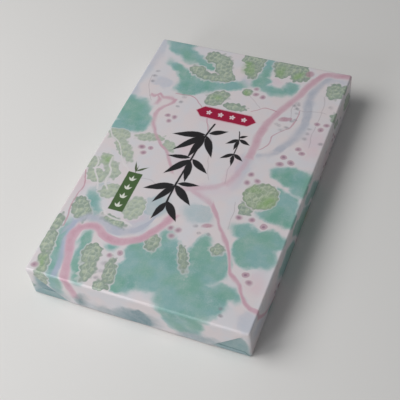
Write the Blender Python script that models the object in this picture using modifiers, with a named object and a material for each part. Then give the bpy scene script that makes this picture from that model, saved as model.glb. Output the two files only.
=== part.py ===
"""A flat gift box wrapped in one sheet of paper, closed, as a single solid.

The sheet is folded round the box as a parcel is. It meets under the base in an overlap that runs the
length of the box. At each end the two sides fold in first, then the short base flap, then the top, whose
flap hangs down over the end. Its two creases run in from the top corners, and leave a triangle at each
side where the layers below it show. Each lower layer is cut back into the end by its own depth.
The origin is the middle of the base. +X is across the box, +Y along it, away from the near end.
"""

import math

import bmesh
import bpy

BOX_WIDTH = 0.188
BOX_LENGTH = 0.285
BOX_HEIGHT = 0.034
EDGE_RADIUS = 0.002
EDGE_SEGMENTS = 5

# The creases of both flaps run in at this angle from the corners they start from.
CREASE_ANGLE = math.radians(44.3)
# The base flap is short. Its free edge is cut a little askew, so it stands higher at its left end.
BASE_FLAP_LEFT_HEIGHT = 0.0105
BASE_FLAP_RIGHT_HEIGHT = 0.0055
# The top flap's free edge stops this far above the base, where the base flap shows below it.
TOP_FLAP_CLEARANCE = 0.0014

# How far the base flap and the side tucks lie below the top flap's face.
BASE_FLAP_DEPTH = 0.0003
SIDE_TUCK_DEPTH = 0.0006
# The tucks are cut this far short of the top flap's creases, where the layers round over.
CREASE_LEDGE = 0.0002

# Under the base, the outer layer of the overlap ends on this line, and the inner layer lies above it.
SEAM_X = -0.022
SEAM_DEPTH = 0.0002

CUTTER_REACH = 0.004

PAPER_COLOUR = (0.63, 0.56, 0.60, 1.0)
PAPER_ROUGHNESS = 0.45


def clear_scene():
    """Removes whatever objects the scene holds."""
    for obj in list(bpy.data.objects):
        bpy.data.objects.remove(obj)


def new_collection(name):
    """Adds a collection to the scene."""
    collection = bpy.data.collections.new(name)
    bpy.context.scene.collection.children.link(collection)
    return collection


def paper_material():
    """Coated wrapping paper, pale and a little glossy."""
    material = bpy.data.materials.new("coated_wrapping_paper")
    material.use_nodes = True
    shader = material.node_tree.nodes["Principled BSDF"]
    shader.inputs["Base Color"].default_value = PAPER_COLOUR
    shader.inputs["Roughness"].default_value = PAPER_ROUGHNESS
    shader.inputs["Metallic"].default_value = 0.0
    return material


def box_of(name, low, high):
    """A box object between two corners, with its size in its mesh."""
    mesh = bpy.data.meshes.new(name)
    shape = bmesh.new()
    bmesh.ops.create_cube(shape, size=1.0)
    size = [high[axis] - low[axis] for axis in range(3)]
    middle = [(high[axis] + low[axis]) / 2 for axis in range(3)]
    bmesh.ops.scale(shape, vec=size, verts=shape.verts)
    bmesh.ops.translate(shape, vec=middle, verts=shape.verts)
    shape.to_mesh(mesh)
    shape.free()
    return bpy.data.objects.new(name, mesh)


def slab_of(name, outline, near_y, far_y):
    """A slab with this outline in X and Z, from near_y to far_y: a filled flat curve, extruded and stood up."""
    curve = bpy.data.curves.new(name + "_outline", "CURVE")
    curve.dimensions = "2D"
    curve.fill_mode = "BOTH"
    curve.extrude = (far_y - near_y) / 2
    spline = curve.splines.new("POLY")
    spline.points.add(len(outline) - 1)
    for point, (x, z) in zip(spline.points, outline):
        point.co = (x, z, 0.0, 1.0)
    spline.use_cyclic_u = True

    guide = bpy.data.objects.new(name + "_outline", curve)
    bpy.context.scene.collection.objects.link(guide)
    guide.rotation_euler = (math.pi / 2, 0.0, 0.0)
    guide.location = (0.0, (near_y + far_y) / 2, 0.0)
    bpy.context.view_layer.update()
    mesh = bpy.data.meshes.new_from_object(guide.evaluated_get(bpy.context.evaluated_depsgraph_get()))
    mesh.transform(guide.matrix_world)
    bpy.data.objects.remove(guide)

    shape = bmesh.new()
    shape.from_mesh(mesh)
    bmesh.ops.remove_doubles(shape, verts=shape.verts, dist=1e-6)
    bmesh.ops.recalc_face_normals(shape, faces=shape.faces)
    shape.to_mesh(mesh)
    shape.free()
    return bpy.data.objects.new(name, mesh)


def outside_top_flap():
    """All of the end that the top flap doesn't cover: a triangle at each side and a strip along the base."""
    corner = BOX_WIDTH / 2
    outside = corner + CUTTER_REACH
    foot = corner - (BOX_HEIGHT - TOP_FLAP_CLEARANCE) / math.tan(CREASE_ANGLE)
    right_half = [
        (foot, TOP_FLAP_CLEARANCE),
        (corner, BOX_HEIGHT),
        (outside, BOX_HEIGHT),
        (outside, -CUTTER_REACH),
    ]
    left_half = [(-x, z) for x, z in reversed(right_half)]
    return right_half + left_half


def base_flap_top(side):
    """The upper corner of the base flap at one side, where its crease meets its free edge."""
    height = BASE_FLAP_LEFT_HEIGHT if side < 0 else BASE_FLAP_RIGHT_HEIGHT
    return side * (BOX_WIDTH / 2 - height / math.tan(CREASE_ANGLE)), height


def edge_meets_crease(side):
    """Where the base flap's free edge meets the ledge below the top flap's crease at one side."""
    left_x, left_z = base_flap_top(-1)
    right_x, right_z = base_flap_top(1)
    slope = (right_z - left_z) / (right_x - left_x)
    climb = math.tan(CREASE_ANGLE)
    corner = BOX_WIDTH / 2
    # The ledge is the line z = top - climb * (corner - side * x).
    top = BOX_HEIGHT - CREASE_LEDGE
    x = (top - climb * corner - left_z + slope * left_x) / (slope - side * climb)
    return x, left_z + slope * (x - left_x)


def side_tuck_outline(side):
    """The part of the folded-in side that shows, above the base flap and outside the top flap."""
    corner = side * BOX_WIDTH / 2
    outside = corner + side * CUTTER_REACH
    return [
        (outside, 0.0),
        (corner, 0.0),
        base_flap_top(side),
        edge_meets_crease(side),
        (corner, BOX_HEIGHT - CREASE_LEDGE),
        (outside, BOX_HEIGHT - CREASE_LEDGE),
    ]


def end_cutters():
    """Slabs that cut the lower layers of paper back into both ends."""
    cutters = []
    for end_name, end in (("near", -1), ("far", 1)):
        face = end * BOX_LENGTH / 2
        outlines = [
            (f"{end_name}_base_flap", outside_top_flap(), BASE_FLAP_DEPTH),
            (f"{end_name}_left_tuck", side_tuck_outline(-1), SIDE_TUCK_DEPTH),
            (f"{end_name}_right_tuck", side_tuck_outline(1), SIDE_TUCK_DEPTH),
        ]
        for name, outline, depth in outlines:
            inner = face - end * depth
            outer = face + end * CUTTER_REACH
            cutters.append(slab_of(name, outline, min(inner, outer), max(inner, outer)))
    return cutters


def seam_cutter():
    """The step under the base, where the sheet's inner edge lies above its outer one."""
    low = (-BOX_WIDTH / 2 - CUTTER_REACH, -BOX_LENGTH / 2 - CUTTER_REACH, -CUTTER_REACH)
    high = (SEAM_X, BOX_LENGTH / 2 + CUTTER_REACH, SEAM_DEPTH)
    return box_of("base_seam", low, high)


def wrapped_box():
    """The box with its rounded, paper-covered edges."""
    low = (-BOX_WIDTH / 2, -BOX_LENGTH / 2, 0.0)
    high = (BOX_WIDTH / 2, BOX_LENGTH / 2, BOX_HEIGHT)
    box = box_of("wrapped_box", low, high)
    rounding = box.modifiers.new("rounded_edges", "BEVEL")
    rounding.width = EDGE_RADIUS
    rounding.segments = EDGE_SEGMENTS
    rounding.limit_method = "NONE"
    return box


def main():
    clear_scene()
    pack = new_collection("wrapped_gift_box")
    helpers = new_collection("cutters")
    box = wrapped_box()
    box.data.materials.append(paper_material())
    pack.objects.link(box)
    for cutter in [seam_cutter(), *end_cutters()]:
        helpers.objects.link(cutter)
        cutter.hide_render = True
        cutter.display_type = "WIRE"
        cut = box.modifiers.new(cutter.name, "BOOLEAN")
        cut.operation = "DIFFERENCE"
        cut.object = cutter
    box.data.shade_smooth()
    box.data.set_sharp_from_angle(angle=math.radians(30))


main()
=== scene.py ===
import math

import bmesh
import bpy
from mathutils import Matrix, Vector, noise


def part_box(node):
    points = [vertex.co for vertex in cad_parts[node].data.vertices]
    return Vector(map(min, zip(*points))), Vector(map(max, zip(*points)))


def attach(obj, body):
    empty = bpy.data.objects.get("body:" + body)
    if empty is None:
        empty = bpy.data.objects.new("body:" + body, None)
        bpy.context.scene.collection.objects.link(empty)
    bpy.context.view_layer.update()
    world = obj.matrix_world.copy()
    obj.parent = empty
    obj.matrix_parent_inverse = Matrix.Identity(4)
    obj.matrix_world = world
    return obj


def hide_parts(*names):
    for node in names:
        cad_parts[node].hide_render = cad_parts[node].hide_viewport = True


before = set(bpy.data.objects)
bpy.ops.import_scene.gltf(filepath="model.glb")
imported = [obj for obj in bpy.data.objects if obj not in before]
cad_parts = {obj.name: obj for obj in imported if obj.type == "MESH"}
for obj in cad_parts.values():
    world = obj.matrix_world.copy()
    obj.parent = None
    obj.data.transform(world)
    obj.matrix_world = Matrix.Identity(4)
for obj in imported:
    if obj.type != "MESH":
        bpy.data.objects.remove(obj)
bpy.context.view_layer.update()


# ---- The paper wrap's form
# One sheet of thin coated paper, drawn tight round a shut card carton and folded at each end like a parcel's.
# The sides are tucked in first, then a short base flap, then the top, which hangs over the end as a flap with
# a slanting crease at each side. The sheet's two long edges overlap and are glued under the base.

low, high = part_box("wrapped_box")
HALF_WIDTH = high[0]
HALF_LENGTH = high[1]
HEIGHT = high[2]
MM = 0.001

EDGE_RADIUS = 2 * MM
# The top flap stops this far above the base. Its side creases start at the top corners and slant inwards.
FLAP_BOTTOM = 1.9 * MM
CREASE_SLOPE = math.tan(math.radians(44.3))
# The base flap's free edge is cut a little askew, so it is deeper at the left.
BASE_FLAP_LEFT = 10.5 * MM
BASE_FLAP_RIGHT = 5.5 * MM
# Low on the ends, the other layers lie this far below the top flap's face, and the flap stands off a little.
BASE_FLAP_DEPTH = 0.35 * MM
TUCK_DEPTH = 0.75 * MM
FLAP_STAND_OFF = 0.35 * MM
# A fold's lip rounds over within 0.45 mm of its edge, and the layer below starts 0.1 mm outside it.
LIP_ROWS = (-0.45 * MM, -0.1 * MM, 0.1 * MM)
LIP_EDGE = 0.2 * MM
LIP_SHIFT = 0.5 * MM
# The sheet's two long edges overlap under the base along this line.
SEAM_X = -22 * MM
SEAM_STEP = 0.25 * MM
# Cuts this far apart give the faces that carry the paper's waves.
FACE_SPACING = 4 * MM
FACE_SPACING_UP = 2.6 * MM
WAVE_HEIGHT = 0.16 * MM
RIPPLE_HEIGHT = 0.12 * MM

bpy.ops.object.select_all(action="DESELECT")
bpy.ops.mesh.primitive_cube_add(size=1, location=(0, 0, HEIGHT / 2))
wrap = bpy.context.active_object
wrap.name = "paper_wrap"
wrap.scale = (2 * HALF_WIDTH, 2 * HALF_LENGTH, HEIGHT)
bpy.ops.object.transform_apply(location=True, rotation=True, scale=True)

bpy.ops.object.mode_set(mode="EDIT")
bpy.ops.mesh.select_all(action="SELECT")
bpy.ops.mesh.bevel(offset=EDGE_RADIUS, segments=5, profile=0.5, affect="EDGES")


def cut_wrap(point, normal, only=None):
    """Cuts the wrap's faces along a plane, or only the faces whose centres pass a test."""
    bpy.ops.mesh.select_all(action="DESELECT")
    edit = bmesh.from_edit_mesh(wrap.data)
    for face in edit.faces:
        if only is None or only(face.calc_center_median()):
            face.select_set(True)
    bmesh.update_edit_mesh(wrap.data)
    bpy.ops.mesh.bisect(plane_co=point, plane_no=normal)


def steps(start, end, spacing):
    """Evenly spaced places between two limits, without the limits."""
    count = max(2, round((end - start) / spacing))
    return [start + (end - start) * i / count for i in range(1, count)]


for x in steps(-HALF_WIDTH + EDGE_RADIUS, HALF_WIDTH - EDGE_RADIUS, FACE_SPACING):
    cut_wrap((x, 0, 0), (1, 0, 0))
for y in steps(-HALF_LENGTH + EDGE_RADIUS, HALF_LENGTH - EDGE_RADIUS, FACE_SPACING):
    cut_wrap((0, y, 0), (0, 1, 0))
for z in steps(EDGE_RADIUS, HEIGHT - EDGE_RADIUS, FACE_SPACING_UP):
    cut_wrap((0, 0, z), (0, 0, 1))


def base_flap_edge(x):
    """Height of the base flap's free edge at x."""
    left = -HALF_WIDTH + BASE_FLAP_LEFT / CREASE_SLOPE
    right = HALF_WIDTH - BASE_FLAP_RIGHT / CREASE_SLOPE
    across = (x - left) / (right - left)
    return BASE_FLAP_LEFT + (BASE_FLAP_RIGHT - BASE_FLAP_LEFT) * across


slant = math.hypot(1, CREASE_SLOPE)
edge_rise = base_flap_edge(1) - base_flap_edge(0)
edge_slant = math.hypot(1, edge_rise)
# Each fold's edge is a line on the end, given by a point (x, z) and its outward direction.
fold_lines = {
    "top_flap_left": ((-HALF_WIDTH, HEIGHT), (-CREASE_SLOPE / slant, -1 / slant)),
    "top_flap_right": ((HALF_WIDTH, HEIGHT), (CREASE_SLOPE / slant, -1 / slant)),
    "top_flap_bottom": ((0, FLAP_BOTTOM), (0, -1)),
    "base_flap_left": ((-HALF_WIDTH, 0), (-CREASE_SLOPE / slant, 1 / slant)),
    "base_flap_right": ((HALF_WIDTH, 0), (CREASE_SLOPE / slant, 1 / slant)),
    "base_flap_top": ((0, base_flap_edge(0)), (-edge_rise / edge_slant, 1 / edge_slant)),
}


def outside(line, x, z):
    """How far the place (x, z) of an end is outside a fold's line."""
    (line_x, line_z), (out_x, out_z) = fold_lines[line]
    return (x - line_x) * out_x + (z - line_z) * out_z


def outside_top_flap(x, z):
    """How far the place (x, z) of an end is outside the top flap."""
    return max(outside(name, x, z) for name in ("top_flap_left", "top_flap_right", "top_flap_bottom"))


def outside_base_flap(x, z):
    """How far the place (x, z) of an end is outside the base flap."""
    return max(outside(name, x, z) for name in ("base_flap_left", "base_flap_right", "base_flap_top"))


for end in (-1, 1):
    for name, ((x, z), (out_x, out_z)) in fold_lines.items():
        for row in LIP_ROWS:
            cut_wrap(
                (x + out_x * row, 0, z + out_z * row),
                (out_x, 0, out_z),
                only=lambda centre: centre.y * end > HALF_LENGTH - 0.3 * EDGE_RADIUS,
            )
for row in LIP_ROWS:
    cut_wrap((SEAM_X + row, 0, 0), (1, 0, 0), only=lambda centre: centre.z < 0.3 * EDGE_RADIUS)
# Cuts that pass close together leave points almost on each other.
bpy.ops.mesh.select_all(action="SELECT")
bpy.ops.mesh.remove_doubles(threshold=0.02 * MM)
bpy.ops.object.mode_set(mode="OBJECT")

# The print lies on the sheet as it was before it was folded, so each face takes its place on the flat sheet,
# in metres from the middle of the top: u across the box and v along it.
sheet_map = wrap.data.uv_layers.new(name="flat_sheet")


def on_sheet(place, part):
    """The flat sheet's (u, v) at a place of the folded wrap, for one part of the sheet."""
    x, y, z = place
    side = 1 if x > 0 else -1
    end = 1 if y > 0 else -1
    drop = HEIGHT - z
    inward = HALF_WIDTH - abs(x)
    if part == "top_flap":
        return x, y + end * drop
    if part == "tuck":
        return side * (HALF_WIDTH + drop), y + end * inward
    base_side = 1 if x > SEAM_X else -1
    if part == "base_flap":
        return base_side * (HALF_WIDTH + HEIGHT) + (base_side * HALF_WIDTH - x), y + end * z
    if z > HEIGHT / 2:
        return x + side * drop, y
    if abs(x) < HALF_WIDTH - EDGE_RADIUS:
        return base_side * (HALF_WIDTH + drop) + (base_side * HALF_WIDTH - x), y
    return side * (HALF_WIDTH + drop + inward), y


for face in wrap.data.polygons:
    centre = face.center
    part = "tube"
    if abs(centre.y) > HALF_LENGTH - EDGE_RADIUS:
        if outside_top_flap(centre.x, centre.z) < 0 or centre.z > HEIGHT - EDGE_RADIUS:
            part = "top_flap"
        elif outside_base_flap(centre.x, centre.z) < 0 or centre.z < EDGE_RADIUS:
            part = "base_flap"
        else:
            part = "tuck"
    for loop in face.loop_indices:
        place = wrap.data.vertices[wrap.data.loops[loop].vertex_index].co
        sheet_map.data[loop].uv = on_sheet(place, part)


def ease(value):
    """0 to 1 with a soft start and finish."""
    value = min(1, max(0, value))
    return value * value * (3 - 2 * value)


# The folds, the seam's step and the slight unevenness of paper over card move the points a little.
for vertex in wrap.data.vertices:
    x, y, z = vertex.co
    side = 1 if x > 0 else -1
    end = 1 if y > 0 else -1
    near_end = ease((abs(y) - HALF_LENGTH + 14 * MM) / (12 * MM))
    fallen = HEIGHT - z
    flap_distance = outside_top_flap(x, z)
    base_distance = outside_base_flap(x, z)
    on_end = abs(y) > HALF_LENGTH - 0.01 * MM
    if flap_distance < 0:
        # The top flap stands off a little more towards its free edge, and most at its creases.
        depth = -FLAP_STAND_OFF * ease(fallen / (22 * MM)) * math.exp(flap_distance / (7 * MM))
        if flap_distance > -LIP_EDGE:
            depth += 0.12 * MM * ease(fallen / (6 * MM))
    elif base_distance < 0:
        depth = BASE_FLAP_DEPTH * ease(fallen / (14 * MM))
        if base_distance > -LIP_EDGE:
            depth += 0.08 * MM
        if on_end and flap_distance < LIP_EDGE:
            vertex.co.x -= side * LIP_SHIFT
    else:
        depth = TUCK_DEPTH * ease(fallen / (14 * MM))
        if on_end and flap_distance < LIP_EDGE:
            shift = LIP_SHIFT * ease(fallen / (10 * MM))
            vertex.co.x -= side * shift
            vertex.co.z += 0.7 * shift
        elif on_end and base_distance < LIP_EDGE:
            vertex.co.z -= 0.35 * MM
    vertex.co.y -= end * depth * near_end

    # Under the base, the inner layer rises from the seam and comes back down before the side.
    if z < 0.4 * EDGE_RADIUS and x < SEAM_X:
        vertex.co.z += SEAM_STEP * (1 - ease((SEAM_X - x) / (50 * MM)))

    # Slow waves about 45 mm long, and a finer ripple towards the ends where the paper is pulled.
    wave = noise.noise(Vector((x, y, z)) * 22) * WAVE_HEIGHT
    ripple = noise.noise(Vector((x * 60, y * 25, z * 60 + 5))) * RIPPLE_HEIGHT * near_end
    if z > HEIGHT - 0.01 * MM:
        vertex.co.z += wave - 0.1 * MM
    elif abs(x) > HALF_WIDTH - 0.01 * MM:
        vertex.co.x += (wave + ripple - 0.1 * MM) * side * 1.5
    elif on_end:
        vertex.co.y += end * (wave + ripple) * 1.2

bpy.ops.object.shade_smooth_by_angle(angle=math.radians(38))


# ---- The printed paper
# Machine-coated paper, offset printed in a soft painted design of hills, woods, roads and streams. The coat
# is satin: it keeps the colours flat and milky, and shows a dull sheen along the folded edges.
paper = bpy.data.materials.new("coated_offset_paper")
paper.use_nodes = True
tree = paper.node_tree
tree.nodes.clear()


def node(kind, values=None, **settings):
    """Adds a node with its settings, and sets or links its inputs by name or number."""
    made = tree.nodes.new(kind)
    for name, value in settings.items():
        setattr(made, name, value)
    for name, value in (values or {}).items():
        if isinstance(value, bpy.types.NodeSocket):
            tree.links.new(value, made.inputs[name])
        else:
            made.inputs[name].default_value = value
    return made


def colour(code):
    """Linear RGBA of an sRGB hex colour."""
    parts = [int(code[i:i + 2], 16) / 255 for i in (1, 3, 5)]
    return [c / 12.92 if c <= 0.04045 else ((c + 0.055) / 1.055) ** 2.4 for c in parts] + [1]


uv = node("ShaderNodeUVMap", uv_map="flat_sheet")
# Everything printed is drawn in millimetres on the flat sheet.
sheet = node("ShaderNodeVectorMath", {0: uv.outputs[0], 1: (1000, 1000, 0)}, operation="MULTIPLY").outputs[0]

# The design is drawn for the top and the near end. Past the far edge, and past the long edges, it turns back
# on itself at a slant, so the sides, the far end and the base are printed too. Each slide is the shift along
# the edge for each millimetre past it.
TURN_U = 100
TURN_V = 146
SLIDE_U = 0.9
SLIDE_V = -0.7
parts = node("ShaderNodeSeparateXYZ", {0: sheet})
past_far = node("ShaderNodeMath", {0: parts.outputs[1], 1: TURN_V}, operation="SUBTRACT").outputs[0]
past_far = node("ShaderNodeMath", {0: past_far, 1: 0.0}, operation="MAXIMUM").outputs[0]
slid_u = node("ShaderNodeMath", {0: past_far, 1: SLIDE_U, 2: parts.outputs[0]},
              operation="MULTIPLY_ADD").outputs[0]
turned_v = node("ShaderNodeMath", {0: past_far, 1: -2.0, 2: parts.outputs[1]},
                operation="MULTIPLY_ADD").outputs[0]
from_middle = node("ShaderNodeMath", {0: slid_u}, operation="ABSOLUTE").outputs[0]
past_side = node("ShaderNodeMath", {0: from_middle, 1: TURN_U}, operation="SUBTRACT").outputs[0]
past_side = node("ShaderNodeMath", {0: past_side, 1: 0.0}, operation="MAXIMUM").outputs[0]
slid_v = node("ShaderNodeMath", {0: past_side, 1: SLIDE_V, 2: turned_v},
              operation="MULTIPLY_ADD").outputs[0]
turned_u = node("ShaderNodeMath", {0: past_side, 1: -2.0, 2: from_middle},
                operation="MULTIPLY_ADD").outputs[0]
side = node("ShaderNodeMath", {0: slid_u}, operation="SIGN").outputs[0]
turned_u = node("ShaderNodeMath", {0: turned_u, 1: side}, operation="MULTIPLY").outputs[0]
design = node("ShaderNodeCombineXYZ", {0: turned_u, 1: slid_v}).outputs[0]

# Painted shapes wander with a slow drift, about 14 mm long, and fray softly along their edges, every 4 mm.
# Brushed lines flow with a little of both, washes wander more, and printed shapes keep still.
drift = node("ShaderNodeTexNoise", {"Vector": sheet, "Scale": 0.07, "Detail": 1.0}, noise_dimensions="2D")
drift = node("ShaderNodeVectorMath", {0: drift.outputs["Color"], 1: (-0.5, -0.5, 0)},
             operation="ADD").outputs[0]
fray = node("ShaderNodeTexNoise", {"Vector": sheet, "Scale": 0.28, "Detail": 2.0}, noise_dimensions="2D")
fray = node("ShaderNodeVectorMath", {0: fray.outputs["Color"], 1: (-0.5, -0.5, 0)},
            operation="ADD").outputs[0]
flowing = node("ShaderNodeVectorMath", {0: drift, 1: (3, 3, 0), 2: design},
               operation="MULTIPLY_ADD").outputs[0]
flowing = node("ShaderNodeVectorMath", {0: fray, 1: (0.7, 0.7, 0), 2: flowing},
               operation="MULTIPLY_ADD").outputs[0]
painted = node("ShaderNodeVectorMath", {0: drift, 1: (5, 5, 0), 2: flowing},
               operation="MULTIPLY_ADD").outputs[0]
painted = node("ShaderNodeVectorMath", {0: fray, 1: (1.8, 1.8, 0), 2: painted},
               operation="MULTIPLY_ADD").outputs[0]
steady = node("ShaderNodeVectorMath", {0: fray, 1: (0.5, 0.5, 0), 2: sheet},
              operation="MULTIPLY_ADD").outputs[0]

# Pigment settles unevenly, in clouds about 12 mm across and in grains of a millimetre. Wet edges bleed in
# some stretches and dry crisp in others, and each colour drifts between a cooler and a warmer mix.
clouds = node("ShaderNodeTexNoise", {"Vector": sheet, "Scale": 0.085, "Detail": 4.0, "Roughness": 0.62},
              noise_dimensions="2D").outputs[0]
grain = node("ShaderNodeTexNoise", {"Vector": sheet, "Scale": 0.9, "Detail": 2.0, "Roughness": 0.6},
             noise_dimensions="2D").outputs[0]
settled = node("ShaderNodeMath", {0: grain, 1: 0.4, 2: clouds}, operation="MULTIPLY_ADD").outputs[0]
elsewhere = node("ShaderNodeVectorMath", {0: sheet, 1: (230, 90, 0)}, operation="ADD").outputs[0]
slow = node("ShaderNodeTexNoise", {"Vector": elsewhere, "Scale": 0.045, "Detail": 2.0}, noise_dimensions="2D")
bleed = node("ShaderNodeMapRange", {0: slow.outputs[0], 1: 0.34, 2: 0.66, 3: 0.6, 4: 2.0}).outputs[0]
mixed = node("ShaderNodeSeparateXYZ", {0: slow.outputs["Color"]}).outputs[1]
warmth = node("ShaderNodeMapRange", {0: mixed, 1: 0.38, 2: 0.62, 3: 0.0, 4: 1.0}).outputs[0]

ground = node("ShaderNodeMix", {"Factor": warmth, 6: colour("#D9D7DC"), 7: colour("#DFD6D8")},
              data_type="RGBA").outputs[2]

# The design is printed in plates, one over the other. Every plate is a node group that takes these.
on_paper = {"sheet": steady, "flowing": flowing, "painted": painted, "settled": settled, "bleed": bleed,
            "warmth": warmth, "printed": ground}


def open_plate(name):
    """Starts a plate, and returns what it takes from the paper."""
    global tree
    tree = bpy.data.node_groups.new(name, "ShaderNodeTree")
    for label, socket in on_paper.items():
        tree.interface.new_socket(label, in_out="INPUT", socket_type=socket.bl_idname)
    tree.interface.new_socket("printed", in_out="OUTPUT", socket_type="NodeSocketColor")
    return node("NodeGroupInput").outputs


def print_plate(result):
    """Ends a plate and prints it over what is already on the paper."""
    global tree
    plate = tree
    node("NodeGroupOutput", {0: result})
    tree = paper.node_tree
    on_paper["printed"] = node("ShaderNodeGroup", on_paper, node_tree=plate).outputs[0]


def ovals(shapes, place, blend=2.0):
    """Distance in mm outside a group of ellipses, each (u, v, radius along, radius across, turn)."""
    nearest = None
    for u, v, along, across, turn in shapes:
        spot = place
        if turn:
            spot = node("ShaderNodeVectorRotate", {"Vector": place, "Center": (u, v, 0),
                                                   "Angle": -math.radians(turn)},
                        rotation_type="Z_AXIS").outputs[0]
        spot = node("ShaderNodeVectorMath", {0: spot, 1: (1 / along, 1 / across, 0),
                                             2: (-u / along, -v / across, 0)},
                    operation="MULTIPLY_ADD").outputs[0]
        size = node("ShaderNodeVectorMath", {0: spot}, operation="LENGTH").outputs["Value"]
        slim = min(along, across)
        distance = node("ShaderNodeMath", {0: size, 1: slim, 2: -slim}, operation="MULTIPLY_ADD").outputs[0]
        if nearest:
            distance = node("ShaderNodeMath", {0: distance, 1: nearest, 2: blend},
                            operation="SMOOTH_MIN").outputs[0]
        nearest = distance
    return nearest


def wash(under, distance, pigment, edge=1.0, strength=0.9, patch=0.6, grow=0.0):
    """Lays a translucent colour where the distance is under grow, stronger where pigment has settled."""
    reach = node("ShaderNodeMath", {0: grow, 1: distance}, operation="SUBTRACT").outputs[0]
    reach = node("ShaderNodeMath", {0: reach, 1: given["bleed"]}, operation="DIVIDE").outputs[0]
    cover = node("ShaderNodeMapRange", {0: reach, 1: -edge, 2: edge, 3: 0.0, 4: 1.0},
                 interpolation_type="SMOOTHSTEP").outputs[0]
    density = node("ShaderNodeMath", {0: given["settled"], 1: patch, 2: strength - 0.7 * patch},
                   operation="MULTIPLY_ADD").outputs[0]
    alpha = node("ShaderNodeMath", {0: cover, 1: density}, operation="MULTIPLY", use_clamp=True).outputs[0]
    if isinstance(pigment, str):
        pigment = colour(pigment)
    return node("ShaderNodeMix", {"Factor": alpha, 6: under, 7: pigment}, data_type="RGBA").outputs[2]


# Mist: pale blue, lilac and rose tints laid first.
given = open_plate("mist")
blue = ovals([(-93, 118, 7, 30, 0), (-94, 70, 5, 20, 0), (5, 108, 8, 6, 0), (88, -132, 7, 10, 0),
              (84, 130, 12, 9, 0), (-70, 84, 10, 6, 0), (-26, -70, 9, 14, 30), (36, 6, 6, 20, 0)],
             given["painted"], blend=4)
laid = wash(given["printed"], blue, "#B6C0D0", edge=2.4, strength=0.5, patch=0.5)
pools = ovals([(-18, -52, 12, 12, 0), (17, -49, 14, 10, 0), (-68, -50, 8, 9, 0)], given["painted"], blend=4)
laid = wash(laid, pools, "#A2BCC2", edge=2.2, strength=0.6, patch=0.6)
rose = ovals([(30, -4, 7, 22, 0), (14, -24, 16, 6, 12), (-6, 52, 16, 5, 0), (-62, 136, 5, 7, 30),
              (-16, 4, 9, 20, 15), (84, 52, 9, 18, 0), (-89, -48, 6, 14, 0), (84, -100, 9, 9, 0),
              (30, 114, 5, 5, 0), (-33, -71, 10, 4, 20)], given["painted"], blend=4)
laid = wash(laid, rose, "#DDBECA", edge=3.0, strength=0.34, patch=0.5)
print_plate(laid)

# Hills: broad teal fields, laid wet in a pale and then a fuller wash.
given = open_plate("hills")
hills = ovals([
    (-68, 131, 20, 8, -30), (-72, 138, 13, 6, 0), (-50, 123, 14, 5, -22), (-34, 118, 11, 6, -20),
    (-63, 108, 12, 5, -25), (-42, 90, 15, 14, 0), (-52, 98, 9, 8, -40), (-14, 98, 21, 7, 10),
    (-28, 95, 9, 9, 0), (-46, 81, 9, 6, 0), (16, 131, 5, 18, 0), (18, 110, 8, 8, 0), (29, 102, 11, 5, -8),
    (45, 109, 7, 8, 0), (38, 103, 7, 4, 0), (-85, 45, 18, 16, -15), (-72, 33, 11, 13, 0), (-84, 24, 12, 9, 0),
    (81, 9, 15, 11, 0), (67, 10, 8, 6, 0), (90, -2, 8, 7, 0), (80, -22, 13, 14, 0), (75, -35, 13, 6, 0),
    (90, -34, 8, 8, 0), (72, -10, 6, 5, 0),
], given["painted"], blend=2.0)
downs = ovals([
    (61, -56, 12, 8, 0), (80, -59, 13, 11, 0), (71, -70, 17, 17, 0), (84, -74, 8, 12, 0),
    (3, -81, 7, 10, 0), (-8, -100, 16, 14, 0), (12, -90, 10, 9, 0), (20, -108, 30, 23, 0),
    (33, -84, 8, 15, 0), (47, -95, 14, 16, 0),
    (66, -114, 12, 6, -10), (52, -125, 18, 14, 0), (-14, -122, 11, 17, 0), (20, -120, 30, 13, 0),
    (-15, -134, 8, 7, 0), (38, -133, 25, 11, 0), (38, -142, 20, 10, 0), (39, -151, 17, 16, 0),
    (-80, -106, 5, 18, 5), (-75, -128, 6, 16, 12), (-69, -66, 5, 14, 32), (-60, -103, 6, 10, 10),
    (-56, -119, 6, 15, 16), (-50, -134, 5, 10, 16), (-37, -102, 5, 3.5, 0), (-69, -151, 7, 14, 0),
], given["painted"], blend=2.0)
hills = node("ShaderNodeMath", {0: hills, 1: downs, 2: 2.0}, operation="SMOOTH_MIN").outputs[0]
teal = node("ShaderNodeMix", {"Factor": given["warmth"], 6: colour("#86B1B0"), 7: colour("#7CAD9F")},
            data_type="RGBA").outputs[2]
laid = wash(given["printed"], hills, "#A4C2C0", edge=1.5, strength=0.8, patch=0.5, grow=1.0)
laid = wash(laid, hills, teal, edge=1.4, strength=0.84, patch=0.9, grow=-0.6)
deep = ovals([(-38, 86, 14, 8, 10), (44, 108, 6, 6, 0), (-76, 30, 12, 8, 0), (76, 8, 12, 5, 0),
              (22, -98, 20, 9, -8), (56, -122, 12, 6, 0), (84, -36, 8, 6, 0),
              (-10, -128, 9, 6, 0), (36, -146, 12, 6, 0), (-70, -70, 3, 9, 30)], given["painted"], blend=4)
laid = wash(laid, deep, "#68A293", edge=2.6, strength=0.34, patch=1.2)
print_plate(laid)


# Streams and roads follow a smooth line through a few places, as u against v, or v against u. The curve node
# works from 0 to 1, which stands for this span of the sheet, with 0.5 at the sheet's middle.
CURVE_SPAN = 400.0


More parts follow.
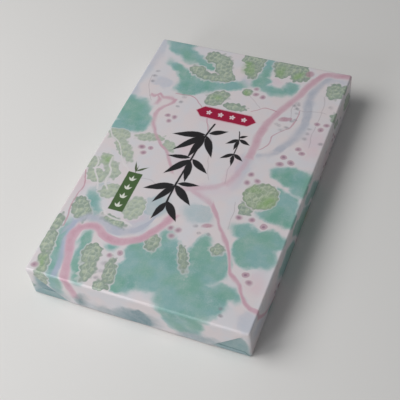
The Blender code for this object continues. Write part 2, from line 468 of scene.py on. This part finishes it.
def route(places, lengthwise=True, place="flowing"):
    """Distance in mm from a line through places (u, v). A lengthwise line has one u for each v."""
    parts = node("ShaderNodeSeparateXYZ", {0: given[place]})
    along, aside = parts.outputs[0], parts.outputs[1]
    if lengthwise:
        along, aside = aside, along
    share = node("ShaderNodeMath", {0: along, 1: 1 / CURVE_SPAN, 2: 0.5}, operation="MULTIPLY_ADD").outputs[0]
    line = node("ShaderNodeFloatCurve", {"Factor": 1.0, "Value": share})
    curve = line.mapping.curves[0]
    ends = sorted((v, u) if lengthwise else (u, v) for u, v in places)
    points = [(a / CURVE_SPAN + 0.5, b / CURVE_SPAN + 0.5) for a, b in ends]
    curve.points[0].location, curve.points[1].location = points[0], points[-1]
    for point in points[1:-1]:
        curve.points.new(*point)
    line.mapping.update()
    offset = node("ShaderNodeMath", {0: line.outputs[0], 1: CURVE_SPAN, 2: -CURVE_SPAN / 2},
                  operation="MULTIPLY_ADD").outputs[0]
    gap = node("ShaderNodeMath", {0: aside, 1: offset}, operation="SUBTRACT").outputs[0]
    beside = node("ShaderNodeMath", {0: gap}, operation="ABSOLUTE").outputs[0]
    start, finish = ends[0][0], ends[-1][0]
    past = node("ShaderNodeMath", {0: along, 1: (start + finish) / 2}, operation="SUBTRACT").outputs[0]
    past = node("ShaderNodeMath", {0: past}, operation="ABSOLUTE").outputs[0]
    past = node("ShaderNodeMath", {0: past, 1: (finish - start) / 2}, operation="SUBTRACT").outputs[0]
    return node("ShaderNodeMath", {0: beside, 1: past, 2: 1.5}, operation="SMOOTH_MAX").outputs[0]


def nearest_of(*distances):
    """The least of some distances, merged softly."""
    least = distances[0]
    for distance in distances[1:]:
        least = node("ShaderNodeMath", {0: least, 1: distance, 2: 1.5}, operation="SMOOTH_MIN").outputs[0]
    return least


# Woods: clumps of olive tree crowns about 5 mm across, with scalloped edges and bare paper round each clump.
# Each crown is lit from the upper left, and outlined with a pale brush.
BARE = "#DED8DA"
CROWNS_PER_MM = 0.2
SCALLOP = 3.2
given = open_plate("woods")
crowns = node("ShaderNodeTexVoronoi", {"Vector": given["flowing"], "Scale": CROWNS_PER_MM, "Smoothness": 0.25,
                                       "Randomness": 0.8}, voronoi_dimensions="2D", feature="SMOOTH_F1")
beside = node("ShaderNodeVectorMath", {0: given["flowing"], 1: (0.7, -1.1, 0)}, operation="ADD").outputs[0]
beside = node("ShaderNodeTexVoronoi", {"Vector": beside, "Scale": CROWNS_PER_MM, "Smoothness": 0.25,
                                       "Randomness": 0.8}, voronoi_dimensions="2D", feature="SMOOTH_F1")
crown_light = node("ShaderNodeMath", {0: crowns.outputs["Distance"], 1: beside.outputs["Distance"]},
                   operation="SUBTRACT").outputs[0]
sunny = node("ShaderNodeMapRange", {0: crown_light, 1: 0.0, 2: 0.22, 3: 0.0, 4: 0.28}).outputs[0]
shady = node("ShaderNodeMapRange", {0: crown_light, 1: 0.0, 2: -0.22, 3: 0.0, 4: 0.22}).outputs[0]

outline = node("ShaderNodeTexVoronoi", {"Vector": given["flowing"], "Scale": CROWNS_PER_MM,
                                        "Randomness": 0.8},
               voronoi_dimensions="2D", feature="DISTANCE_TO_EDGE").outputs["Distance"]
outline = node("ShaderNodeMapRange", {0: outline, 1: 0.1, 2: 0.02, 3: 0.0, 4: 0.34}).outputs[0]
# Light dabs of the brush, taller than wide, 2.4 by 4.5 mm.
dabs = node("ShaderNodeVectorMath", {0: given["sheet"], 1: (0.42, 0.22, 0)}, operation="MULTIPLY").outputs[0]
dabs = node("ShaderNodeTexNoise", {"Vector": dabs, "Scale": 1.0, "Detail": 1.0},
            noise_dimensions="2D").outputs[0]
dabs = node("ShaderNodeMapRange", {0: dabs, 1: 0.48, 2: 0.66, 3: 0.0, 4: 0.6}).outputs[0]


def wood(under, shapes, dark, light, strength):
    """Prints one group of clumps in a dark and a light green."""
    clump = ovals(shapes, given["flowing"], blend=1.5)
    clump = node("ShaderNodeMath", {0: crowns.outputs["Distance"], 1: SCALLOP, 2: clump},
                 operation="MULTIPLY_ADD").outputs[0]
    laid = wash(under, clump, BARE, edge=0.7, strength=0.64, patch=0.2, grow=2.5)
    laid = wash(laid, clump, dark, edge=0.6, strength=strength, patch=0.5, grow=1.2)
    inside = node("ShaderNodeMapRange", {0: clump, 1: 1.0, 2: -0.8, 3: 0.0, 4: 1.0}).outputs[0]
    mottle = node("ShaderNodeMapRange", {0: given["settled"], 1: 0.52, 2: 0.86, 3: 0.15, 4: 0.95}).outputs[0]
    mottle = node("ShaderNodeMath", {0: mottle, 1: inside}, operation="MULTIPLY").outputs[0]
    laid = node("ShaderNodeMix", {"Factor": mottle, 6: laid, 7: colour(light)}, data_type="RGBA").outputs[2]
    daub = node("ShaderNodeMath", {0: dabs, 1: inside}, operation="MULTIPLY").outputs[0]
    laid = node("ShaderNodeMix", {"Factor": daub, 6: laid, 7: colour("#C3CCB4")}, data_type="RGBA").outputs[2]
    lift = node("ShaderNodeMath", {0: sunny, 1: inside}, operation="MULTIPLY").outputs[0]
    laid = node("ShaderNodeMix", {"Factor": lift, 6: laid, 7: colour("#C0CCB0")}, data_type="RGBA").outputs[2]
    drop = node("ShaderNodeMath", {0: shady, 1: inside}, operation="MULTIPLY").outputs[0]
    laid = node("ShaderNodeMix", {"Factor": drop, 6: laid, 7: colour("#768C78")}, data_type="RGBA").outputs[2]
    rim = node("ShaderNodeMath", {0: outline, 1: inside}, operation="MULTIPLY").outputs[0]
    return node("ShaderNodeMix", {"Factor": rim, 6: laid, 7: colour("#C9D0C6")}, data_type="RGBA").outputs[2]


laid = wood(given["printed"], [
    (-34, 130, 11, 8, 0), (-23, 121, 9, 16, 22), (-16, 108, 8, 7, 0), (-44, 109, 10, 6.5, -20),
    (-28, 104, 16, 5, 5), (-2, 137, 8, 7, 0), (4, 123, 6.5, 12, 16), (8, 133, 4.5, 12, 0),
    (32, 132, 8.5, 13, 0), (27, 136, 6, 7, 0), (40, 135, 7, 8, 0), (48, 131, 7.5, 12, 0), (54, 128, 5, 6, 0),
    (85, 117, 8, 11, 0), (91, 120, 5, 8, 0), (94, 86, 5, 6, 0), (-13.5, 82, 11, 7.5, 20),
    (-16, 75, 10, 6.5, 25), (9.5, 94.5, 4.4, 5.2, 0), (5, 73, 11, 5, 5), (52, -33, 6, 8, 20),
    (-77, -74, 14, 8, -55), (-46, -78, 13, 5, -14), (-49, -113, 8, 11, 0), (-45, -128, 6.5, 11, 0),
    (-28, -125, 15, 5.6, -78), (-30, -138, 6, 5.5, 0), (-7, -87.5, 6, 8, 0), (22, -94, 12.5, 4, -65),
    (45, -78, 6, 5.5, 0), (-90, -92, 5, 9, 0), (-88, -112, 6, 13, 8), (-83, -131, 5.5, 12, 20),
    (-81, -149, 6, 10, 0),
], "#84988B", "#A6B4A7", 0.94)
# One tree stands alone, with a wide round crown.
laid = wood(laid, [(60, -17.5, 14.5, 14, 0)], "#879B82", "#A8B69F", 0.94)
# The thin woods on the left are paler.
laid = wood(laid, [
    (-82, 12, 11, 7, 0), (-70, -3, 16, 6.5, -45), (-80, -18, 6.5, 8.5, 15), (-90, -25, 6, 7, 0),
    (-70, -28, 6.5, 10, 25), (-81, -37, 10, 7.5, -20), (-62, -49, 10, 8, 30), (-35, -60, 9, 12, 0),
    (-54, 17, 13, 5, 10), (-34, 12, 5, 8, 30),
], "#A0B1A0", "#B6C0B3", 0.82)
# Fresh green glows through some of the clumps.
bright = ovals([(68, -22, 7, 5, 35), (-80, -18, 4, 5, 0), (-84, -132, 3, 6, 20), (30, 128, 5, 8, 0),
                (47, 129, 4, 6, 0), (1, 124, 4.5, 10, 20), (54, -12, 5, 3.5, 0), (-13, 80, 5, 3, 0),
                (10, 94, 2.5, 3, 0)], given["painted"], blend=1)
laid = wash(laid, bright, "#86AC6C", edge=2.2, strength=0.5, patch=1.2)
# Pale tracks wind through the thin woods.
tracks = nearest_of(
    route([(-93, 18), (-86, 8), (-80, 5), (-72, -7), (-66, -17), (-58, -22), (-54, -32)], lengthwise=False),
    route([(-76, -14), (-75, -22), (-71, -30), (-71, -40), (-66, -48)]),
    route([(-60, -68), (-54, -73), (-45, -76), (-38, -75), (-30, -77)], lengthwise=False),
    route([(-92, -16), (-87, -22), (-85, -31), (-78, -41), (-74, -50)]),
)
laid = wash(laid, tracks, "#E2DEDF", edge=0.5, strength=0.8, patch=0.3, grow=0.9)
print_plate(laid)

# Streams: lilac bands. The upper one ends in a soft grey backwater.
given = open_plate("streams")
upper_stream = route([(83, 141), (76, 132), (69, 120), (66.5, 108), (67, 96), (70, 80), (70, 65), (66, 50),
                      (59, 37)])
laid = wash(given["printed"], upper_stream, "#B5B9C5", edge=2.2, strength=0.84, patch=0.9, grow=3.6)
backwater = route([(60, 36), (55, 31), (48, 26), (40, 22)], lengthwise=False, place="painted")
laid = wash(laid, backwater, "#B5B8C4", edge=3.4, strength=0.6, patch=0.8, grow=3.2)
lower_stream = route([(-15, -64), (-22, -78), (-31, -84), (-42, -86.5), (-52, -83), (-60, -79), (-69, -81),
                      (-78, -92)], lengthwise=False)
laid = wash(laid, lower_stream, "#B9BDCB", edge=1.9, strength=0.86, patch=0.8, grow=3.9)
narrows = route([(-77, -88), (-76, -98), (-74.5, -110), (-71.5, -122), (-69, -132), (-68, -140)])
laid = wash(laid, narrows, "#AFB8CD", edge=1.5, strength=0.85, patch=0.5, grow=2.4)
# Wet grey pools lie low on the near end and in its tucks, and a painted shade darkens the foot of the near
# end.
tucks = ovals([(116, -160, 18, 16, 0), (-110, -164, 20, 16, 0), (140, -152, 24, 12, 0),
               (-142, -152, 26, 12, 0)], given["sheet"], blend=4)
laid = wash(laid, tucks, "#7FA3A6", edge=2.6, strength=0.88, patch=0.5)
puddles = ovals([(0, -167, 16, 12, 4), (-90, -170, 9, 9, 0)], given["painted"], blend=4)
laid = wash(laid, puddles, "#6F8F98", edge=3.4, strength=0.86, patch=0.6)
# Painted shade: soft grey-blue washes along the foot of the near end stand in for the light falling off
# there.
painted_end_shade = ovals([(-24, -173, 16, 8, 0), (53, -171, 17, 9, 0), (-72, -168, 12, 7, 0)],
                 given["painted"], blend=4)
laid = wash(laid, painted_end_shade, "#8FA5AC", edge=3.0, strength=0.6, patch=0.8)
print_plate(laid)

# Roads: broad rose bands with bare paper beside them.
given = open_plate("roads")
main_road = nearest_of(
    route([(67, 131), (61, 119), (55.5, 102), (48, 86), (42, 72), (38.5, 58), (37, 40), (37.5, 22)]),
    route([(63, 127), (67, 132.5), (73, 136), (82, 138), (96, 139.5), (130, 141)], lengthwise=False),
)
lower_road = nearest_of(
    route([(-2, -60), (-7, -71), (-12, -80), (-18, -88)]),
    route([(-14, -84), (-23, -91), (-33, -95), (-42, -95), (-50, -91.5), (-58, -87.5), (-65, -89),
           (-72, -96)], lengthwise=False),
    route([(-70, -92), (-71.5, -100), (-69.5, -110), (-66, -121), (-62.5, -131), (-59, -141), (-56, -152),
           (-53, -162)]),
)
side_road = route([(27, -40), (35, -50), (43, -63), (49, -70), (54, -78.5), (58, -87), (61.5, -95),
                   (69, -101), (74, -107), (79, -115), (84, -120), (89, -122), (118, -119)],
                  lengthwise=False)
laid = given["printed"]
for way, half_width, rose, bare in ((main_road, 3.5, "#D1B3BE", 0.6), (lower_road, 3.8, "#D4ADBC", 0.15),
                                    (side_road, 2.4, "#CDA7B5", 0.6)):
    laid = wash(laid, way, BARE, edge=0.7, strength=bare, patch=0.1, grow=half_width + 1.3)
    laid = wash(laid, way, rose, edge=1.25, strength=0.9, patch=0.4, grow=half_width)
    laid = wash(laid, way, "#C598A8", edge=1.6, strength=0.4, patch=1.3, grow=half_width - 1.8)
# The lower road runs out in a dark wet patch.
road_end = ovals([(-48, -167, 4.5, 9, -12)], given["painted"])
laid = wash(laid, road_end, "#64858A", edge=2.6, strength=0.8, patch=0.8)
fading_road = nearest_of(
    route([(37.5, 30), (37, 16), (34, 2), (29, -12)]),
    route([(31, -8), (24, -16), (14, -22), (2, -27), (-8, -31)], lengthwise=False),
    route([(2, -27), (12, -31), (22, -36), (30, -44)], lengthwise=False),
)
laid = wash(laid, fading_road, "#CFAEBB", edge=1.7, strength=0.6, patch=0.6, grow=2.4)
lanes = nearest_of(
    route([(-50.5, 66), (-52, 61.5), (-57, 56.5), (-60, 50), (-60, 40), (-56.5, 31), (-50, 21), (-41.5, 12),
           (-32, 3), (-26, -5), (-21, -14)]),
    route([(-73.5, 66.5), (-70, 66), (-68.8, 68.5), (-67, 70.3), (-65, 69), (-63, 66.8), (-59, 67.3),
           (-54.5, 67.2), (-51, 65.5)], lengthwise=False),
    route([(-67.5, 66.5), (-64.5, 63.5), (-64.8, 58)]),
)
laid = wash(laid, lanes, "#CDA8B5", edge=1.1, strength=0.82, patch=0.9, grow=1.8)
print_plate(laid)

# Paths and hairlines, drawn with a fine brush.
given = open_plate("paths")
paths = nearest_of(
    route([(-53, 74), (-47, 74.8), (-38, 75), (-30, 70), (-24, 65)], lengthwise=False),
    route([(21, 72), (26, 76), (32, 79.5), (42, 79)], lengthwise=False),
    route([(62, 85), (62, 78), (61, 69), (59, 62.5), (53.5, 57), (48.5, 50), (47.5, 40), (42, 31)]),
    route([(-93, -34), (-90, -41), (-86, -50), (-88, -62), (-88, -70), (-85, -82), (-84, -94)]),
    route([(-14, 53), (-11, 46), (-7, 38)]),
)
laid = wash(given["printed"], paths, "#C08B9A", edge=0.35, strength=0.66, patch=0.5, grow=0.6)
hairlines = nearest_of(
    route([(-10, 46), (-1, 30), (4, 8), (13, -14)]),
    route([(24, 6), (25, -4), (27, -13)]),
    route([(56, 92), (54, 84), (56, 76), (58, 70)]),
    route([(56, 85), (64, 86), (74, 87), (85, 88)], lengthwise=False),
    route([(78, 108), (80, 96), (81, 80), (80, 62), (82, 44)]),
    route([(10, 94), (18, 86), (27, 78)], lengthwise=False),
    route([(-84, 92), (-82, 80), (-78, 70), (-72, 60)]),
    route([(-45, -30), (-36, -28), (-24, -32), (-14, -31)], lengthwise=False),
    route([(42, -30), (45, -44), (46, -58)]),
)
laid = wash(laid, hairlines, "#A59CA3", edge=0.3, strength=0.45, patch=0.6, grow=0.35)
print_plate(laid)

# Blossom: soft mauve dabs in threes, each with a darker heart, and a few bushes and grey dabs.
given = open_plate("blossom")
blossom = ovals([(u, v, r, 0.9 * r, 0) for u, v, r in [
    (16, 101, 2.2), (17, 94, 2.5), (24, 92, 2.5), (-50, 46, 2.6), (-43, 46, 2.6), (-46, 40, 2.4),
    (-57, 5, 2.9), (-49, 5, 2.5), (-53, -1.5, 2.5), (81, 74, 2.5), (89, 74, 2.5), (85.5, 68, 2.7),
    (65, 28.5, 3.3), (72, 24, 2.9), (64, 20, 2.9), (74, 41, 2.5), (78, 37, 2.3), (45, 2, 2.9),
    (52.5, -3, 2.5), (44, -7, 2.5), (50.5, -43, 2.7), (61, -43, 2.5), (72, -46, 2.9), (8.5, -70, 2.5),
    (1.5, -70, 2.5), (5.5, -77, 2.5), (74, -93.5, 2.9), (78.5, -100, 2.5), (-35, -110, 2.4),
    (-27, -105, 2.4), (-88, -136, 2.6),
]], given["flowing"], blend=0.4)
laid = wash(given["printed"], blossom, BARE, edge=0.6, strength=0.55, patch=0.2, grow=1.5)
laid = wash(laid, blossom, "#BC9FAC", edge=0.7, strength=0.88, patch=0.4, grow=0.1)
laid = wash(laid, blossom, "#86627C", edge=0.8, strength=0.62, patch=0.6, grow=-1.5)
bushes = ovals([(52, 71.5, 4.6, 3, 15), (56.5, 133, 4, 4, 0), (29, -59, 4.5, 2.4, 25), (49.5, 70, 2.4, 2, 0),
                (56, 73, 2.4, 2, 0)], given["flowing"], blend=1)
laid = wash(laid, bushes, "#B98F9E", edge=0.9, strength=0.7, patch=1.0)
grey_dabs = ovals([(u, v, 1.9, 1.5, 0) for u, v in [
    (47, 64), (49.5, 63), (53, 58.5), (56.5, 62), (59, 71), (61, 73.5), (56, 90), (59, 92), (25, -68),
    (33, -67), (20, -62), (-81, 98), (-81, 91), (-80, 84), (-44, 72), (-44, 66), (-45, 60), (58, 93),
    (59, 87), (60, 81), (76, 66), (76, 60), (75, 54), (41, 116), (54, 125), (-36, -118), (-35, -125),
    (-36, -132), (68, -134), (66, -128), (90, 52), (87, 96),
]], given["flowing"], blend=0.6)
laid = wash(laid, grey_dabs, "#8A8890", edge=0.8, strength=0.48, patch=1.4)
print_plate(laid)


# A spray of bamboo in black ink, and a small one beside it, each leaf one press of a full brush.
def brush_leaf(base, tip, half_width, place, nearest):
    """Distance outside a leaf from base to tip, widest a third of the way along."""
    middle = ((base[0] + tip[0]) / 2, (base[1] + tip[1]) / 2)
    half = math.dist(base, tip) / 2
    cos, sin = (tip[0] - base[0]) / (2 * half), (tip[1] - base[1]) / (2 * half)
    away = node("ShaderNodeVectorMath", {0: place, 1: (*middle, 0)}, operation="SUBTRACT").outputs[0]
    along = node("ShaderNodeVectorMath", {0: away, 1: (cos / half, sin / half, 0)},
                 operation="DOT_PRODUCT").outputs["Value"]
    across = node("ShaderNodeVectorMath", {0: away, 1: (-sin, cos, 0)},
                  operation="DOT_PRODUCT").outputs["Value"]
    width = node("ShaderNodeMath", {0: across}, operation="ABSOLUTE").outputs[0]
    taper = node("ShaderNodeMath", {0: along, 1: along, 2: -1.0}, operation="MULTIPLY_ADD").outputs[0]
    belly = node("ShaderNodeMapRange", {0: along, 1: -1.0, 2: 1.0,
                                        3: 1.45 * half_width, 4: 0.55 * half_width}).outputs[0]
    distance = node("ShaderNodeMath", {0: taper, 1: belly, 2: width}, operation="MULTIPLY_ADD").outputs[0]
    if nearest:
        distance = node("ShaderNodeMath", {0: distance, 1: nearest}, operation="MINIMUM").outputs[0]
    return distance


def flat_ink(under, distance, pigment, edge=0.3):
    """Solid printed colour where the distance is negative."""
    cover = node("ShaderNodeMapRange", {0: distance, 1: edge, 2: -edge, 3: 0.0, 4: 1.0}).outputs[0]
    return node("ShaderNodeMix", {"Factor": cover, 6: under, 7: colour(pigment)}, data_type="RGBA").outputs[2]


given = open_plate("ink")
spray = None
for base, tip, half_width in [
    ((-8, 34), (-37, 27), 3.4), ((-6, 36), (10, 43), 2.6), ((-8, 33), (-30, 9), 3.4),
    ((-8, 32), (-14, 4), 3.4), ((-7, 33), (6, 10), 3.4), ((-10, 3), (-27, -18), 3.4),
    ((-10, 2), (-6, -22), 3.2), ((-11, 5), (-32, 2), 2.2), ((-9, 4), (9, -8), 3.0),
    ((-13, -27), (-37, -38), 3.4), ((-12, -27), (-24, -50), 3.0), ((-12, -27), (8, -44), 3.6),
    ((-11, -25), (8, -22), 2.2), ((-12, -46), (-18, -66), 2.8), ((-12, -45), (3, -63), 3.4),
]:
    spray = brush_leaf(base, tip, half_width, given["sheet"], spray)
for base, tip, half_width in [
    ((22, 37), (12, 29), 1.9), ((22, 37), (33, 33), 1.9), ((22, 36), (21, 24), 1.8),
    ((21, 39), (28, 43), 1.4), ((23, 20), (13, 12), 1.9), ((23, 20), (33, 14), 1.9),
    ((23, 19), (25, 6), 1.7),
]:
    spray = brush_leaf(base, tip, half_width, given["sheet"], spray)
stem = route([(-5, 48), (-8, 30), (-10, 2), (-12, -28), (-12, -47)], place="sheet")
twig = route([(19, 46), (22, 36), (23, 20), (22, 14)], place="sheet")
for line, half_width in ((stem, 0.9), (twig, 0.5)):
    line = node("ShaderNodeMath", {0: line, 1: half_width}, operation="SUBTRACT").outputs[0]
    spray = node("ShaderNodeMath", {0: spray, 1: line}, operation="MINIMUM").outputs[0]
print_plate(flat_ink(given["printed"], spray, "#19171B"))


# A slip of crimson with pointed ends, and a green upright one, each printed sharp over the painting. Small
# white blossoms stand on the first and white leaves on the second.
def slip(middle, half_size, point_length):
    """Distance outside a slip: a rectangle whose left and right ends run to points."""
    away = node("ShaderNodeVectorMath", {0: given["sheet"], 1: (*middle, 0)}, operation="SUBTRACT").outputs[0]
    size = node("ShaderNodeVectorMath", {0: away}, operation="ABSOLUTE").outputs[0]
    parts = node("ShaderNodeSeparateXYZ", {0: size})
    side = node("ShaderNodeMath", {0: parts.outputs[1], 1: half_size[1]}, operation="SUBTRACT").outputs[0]
    lean = node("ShaderNodeMath", {0: parts.outputs[1], 1: point_length / half_size[1], 2: parts.outputs[0]},
                operation="MULTIPLY_ADD").outputs[0]
    tip = node("ShaderNodeMath", {0: lean, 1: half_size[0]}, operation="SUBTRACT").outputs[0]
    return node("ShaderNodeMath", {0: side, 1: tip, 2: 0.6}, operation="SMOOTH_MAX").outputs[0]


given = open_plate("slips")
crimson = slip((1, 60.2), (28, 6.2), 6)
rim = node("ShaderNodeMath", {0: crimson, 1: 0.9}, operation="SUBTRACT").outputs[0]
laid = wash(given["printed"], rim, "#C4607F", edge=0.4, strength=0.5, patch=0.6)
laid = flat_ink(laid, crimson, "#A00439")
label = slip((-49.5, -46), (6.6, 21.2), 0.01)
laid = flat_ink(laid, label, "#486438")
petals = []
for flower in (-16, -5, 6, 17):
    for petal in range(5):
        angle = math.radians(90 + 72 * petal)
        petals.append((1 + flower + 1.5 * math.cos(angle), 60.2 + 1.5 * math.sin(angle), 1.15, 0.8,
                       math.degrees(angle)))
laid = flat_ink(laid, ovals(petals, given["sheet"], blend=0.15), "#EADCE2")
leaves = None
for v in (-31.5, -41.2, -50.9, -60.6):
    for tip_u, tip_v, half_width in ((0, 3.2, 0.9), (-3.4, 0.9, 0.8), (3.4, 0.9, 0.8)):
        leaves = brush_leaf((-49.5, v - 2.6), (-49.5 + tip_u, v + tip_v), half_width, given["sheet"], leaves)
laid = flat_ink(laid, leaves, "#E4E6DC")
sprout = None
for base, tip, half_width in [((-50, -24), (-54, -13), 0.9), ((-50, -23), (-41, -16), 1.0),
                              ((-50, -25), (-50, -17), 0.5)]:
    sprout = brush_leaf(base, tip, half_width, given["sheet"], sprout)
print_plate(flat_ink(laid, sprout, "#4C5B3A"))

# The coat follows the fibres beneath it, a few tenths of a millimetre apart. They are drawn twice as coarse,
# so that they show.
fibres = node("ShaderNodeTexNoise", {"Vector": sheet, "Scale": 1.6, "Detail": 4.0, "Roughness": 0.65},
              noise_dimensions="2D").outputs[0]
pressed = node("ShaderNodeBump", {"Height": fibres, "Strength": 0.5, "Distance": 0.00003}).outputs[0]
dullness = node("ShaderNodeMapRange", {0: clouds, 1: 0.3, 2: 0.7, 3: 0.38, 4: 0.48}).outputs[0]
surface = node("ShaderNodeBsdfPrincipled", {"Base Color": on_paper["printed"], "Roughness": dullness,
                                            "IOR": 1.5, "Coat Weight": 0.3, "Coat Roughness": 0.22,
                                            "Normal": pressed})
output = node("ShaderNodeOutputMaterial", {0: surface.outputs[0]})

wrap.data.materials.clear()
wrap.data.materials.append(paper)
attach(wrap, "root")
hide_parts("wrapped_box")


# ---- The studio
# A plain pale floor, one large soft light high on the left, a smaller one low in front that draws a sheen
# along the near edge, and a weak fill from all round.
bpy.ops.object.select_all(action="DESELECT")
bpy.ops.mesh.primitive_plane_add(size=6, location=(0, 0, -0.0002))
floor = bpy.context.active_object
floor.name = "floor"
floor_paint = bpy.data.materials.new("matt_floor_paint")
floor_paint.use_nodes = True
floor_shader = floor_paint.node_tree.nodes["Principled BSDF"]
floor_shader.inputs["Base Color"].default_value = colour("#E4E3E1")
floor_shader.inputs["Roughness"].default_value = 0.8
floor.data.materials.append(floor_paint)


def soft_light(name, place, size, power, tint):
    """A square soft light aimed at the middle of the floor."""
    lamp = bpy.data.lights.new(name, "AREA")
    lamp.size = size
    lamp.energy = power
    lamp.color = tint
    holder = bpy.data.objects.new(name, lamp)
    bpy.context.scene.collection.objects.link(holder)
    holder.location = place
    holder.rotation_euler = (-Vector(place)).to_track_quat("-Z", "Y").to_euler()


soft_light("key_light", (-0.75, -0.35, 1.1), size=0.9, power=13.3, tint=(1, 0.99, 0.98))
soft_light("front_light", (-0.45, -1.25, 0.55), size=0.5, power=4.2, tint=(0.97, 0.98, 1))
world = bpy.data.worlds.new("studio")
bpy.context.scene.world = world
world.use_nodes = True
fill = world.node_tree.nodes["Background"]
fill.inputs["Color"].default_value = (0.96, 0.98, 1, 1)
fill.inputs["Strength"].default_value = 0.18
bpy.context.scene.view_settings.view_transform = "Standard"

# ---- The camera
# It looks down on the near end from a little to the right, as from a chair at a table.
camera_data = bpy.data.cameras.new("camera")
camera_data.lens = 75.55
camera_data.sensor_width = 36
camera_data.shift_y = 0.00375
camera = bpy.data.objects.new("camera", camera_data)
bpy.context.scene.collection.objects.link(camera)
camera.location = (0.2125, -0.4229, 0.5691)
right = Vector((0.92847, 0.36197, -0.08321))
up = Vector((-0.23471, 0.74545, 0.62387))
camera.rotation_euler = Matrix((right, up, right.cross(up))).transposed().to_euler()
bpy.context.scene.camera = camera

bpy.context.view_layer.update()
